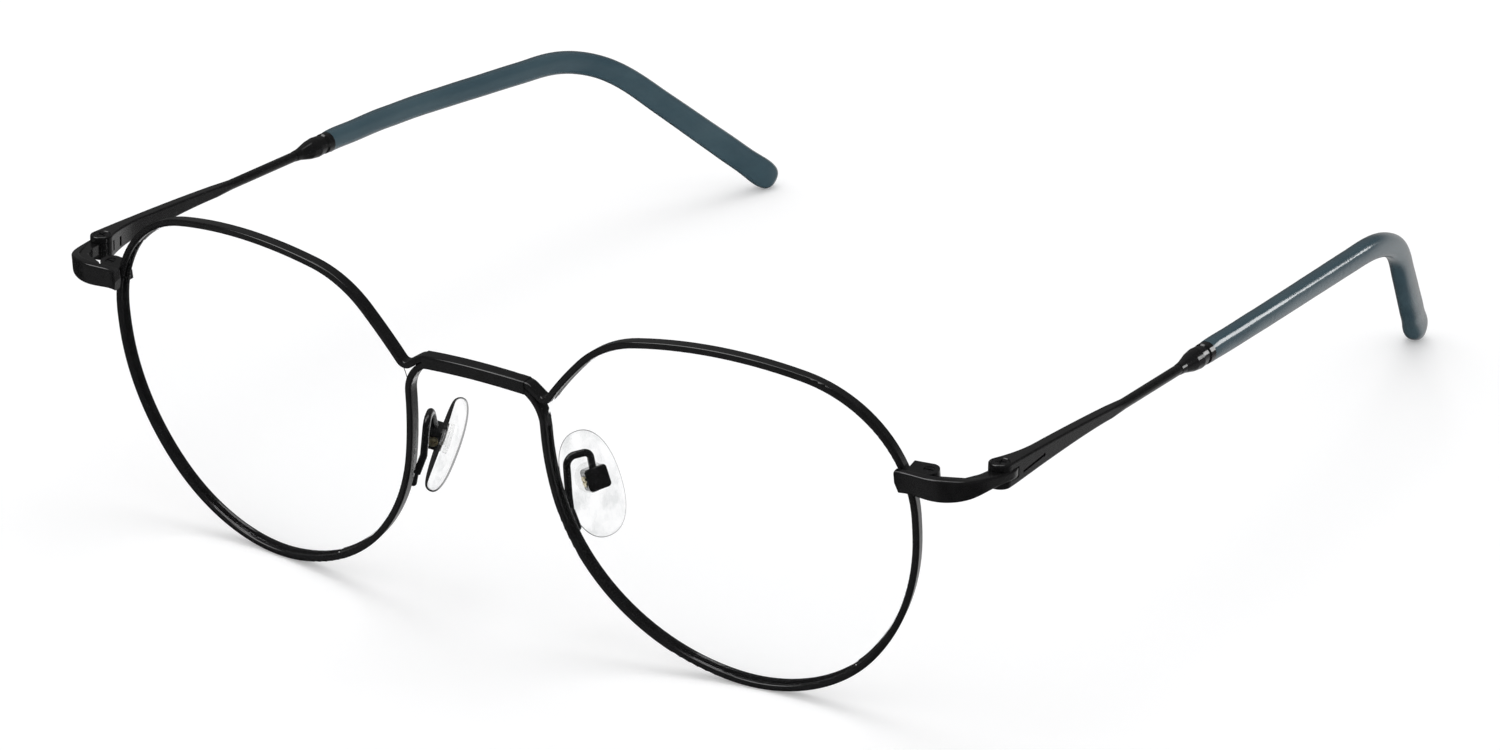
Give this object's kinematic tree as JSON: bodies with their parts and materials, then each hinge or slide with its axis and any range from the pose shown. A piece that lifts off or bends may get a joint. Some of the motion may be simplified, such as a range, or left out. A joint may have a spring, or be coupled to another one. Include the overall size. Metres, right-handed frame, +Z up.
{
  "type": "eyeglasses",
  "caption": "Full-rim metal eyeglasses with panto-shaped lenses, screwed nose pads on wire arms, folding temples and curved acetate tips.",
  "frame": {"origin": "centre of the footprint, on the surface that the open eyeglasses stand on", "axes": "+Z up, the front faces -Y, the temples run to +Y, the wearer's left is +X, X = 0 is the mirror plane"},
  "size_m": [0.1344, 0.1443, 0.0453],
  "materials": {
    "frame_metal": "black satin lacquer",
    "hinge_metal": "black lacquer, slightly glossier",
    "screw_steel": "blackened steel with worn slots",
    "pad_screw_brass": "small bright screw",
    "lens": "clear, coated",
    "temple_acetate": "polished steel-blue acetate",
    "pad_silicone": "clear silicone",
    "pad_core": "clear hard insert"
  },
  "bodies": {
    "front": {"bridge": "frame_metal", "rim_left": "frame_metal", "lens_left": "lens", "end_piece_left": "frame_metal", "rim_block_upper_left": "frame_metal", "rim_block_lower_left": "frame_metal", "rim_block_screw_left": "screw_steel", "hinge_tongue_left": "hinge_metal", "pad_box_left": "hinge_metal", "pad_screw_left": "pad_screw_brass", "pad_arm_left": "frame_metal", "rim_right": "frame_metal", "lens_right": "lens", "end_piece_right": "frame_metal", "rim_block_upper_right": "frame_metal", "rim_block_lower_right": "frame_metal", "rim_block_screw_right": "screw_steel", "hinge_tongue_right": "hinge_metal", "pad_box_right": "hinge_metal", "pad_screw_right": "pad_screw_brass", "pad_arm_right": "frame_metal"},
    "temple_left": {"temple_left": "frame_metal", "hinge_screw_left": "screw_steel", "ferrule_left": "frame_metal", "temple_tip_left": "temple_acetate"},
    "pad_left": {"pad_insert_left": "pad_core", "nose_pad_left": "pad_silicone"},
    "temple_right": {"temple_right": "frame_metal", "hinge_screw_right": "screw_steel", "ferrule_right": "frame_metal", "temple_tip_right": "temple_acetate"},
    "pad_right": {"pad_insert_right": "pad_core", "nose_pad_right": "pad_silicone"}
  },
  "joints": [
    {"name": "temple_left_fold", "type": "hinge", "parent": "front", "child": "temple_left", "pos_m": [0.0656, -0.05898, 0.0329], "axis": [0, 0.0523, 0.9986], "range_deg": [0, 85]},
    {"name": "temple_right_fold", "type": "hinge", "parent": "front", "child": "temple_right", "pos_m": [-0.0656, -0.05898, 0.0329], "axis": [0, -0.0523, -0.9986], "range_deg": [0, 77]},
    {"name": "pad_left_rock", "type": "hinge", "parent": "front", "child": "pad_left", "pos_m": [0.01192, -0.06325, 0.02121], "axis": [0.5014, 0.8479, 0.1723], "range_deg": [-8, 8]},
    {"name": "pad_right_rock", "type": "hinge", "parent": "front", "child": "pad_right", "pos_m": [-0.01192, -0.06325, 0.02121], "axis": [0.5014, -0.8479, -0.1723], "range_deg": [-8, 8]}
  ]
}
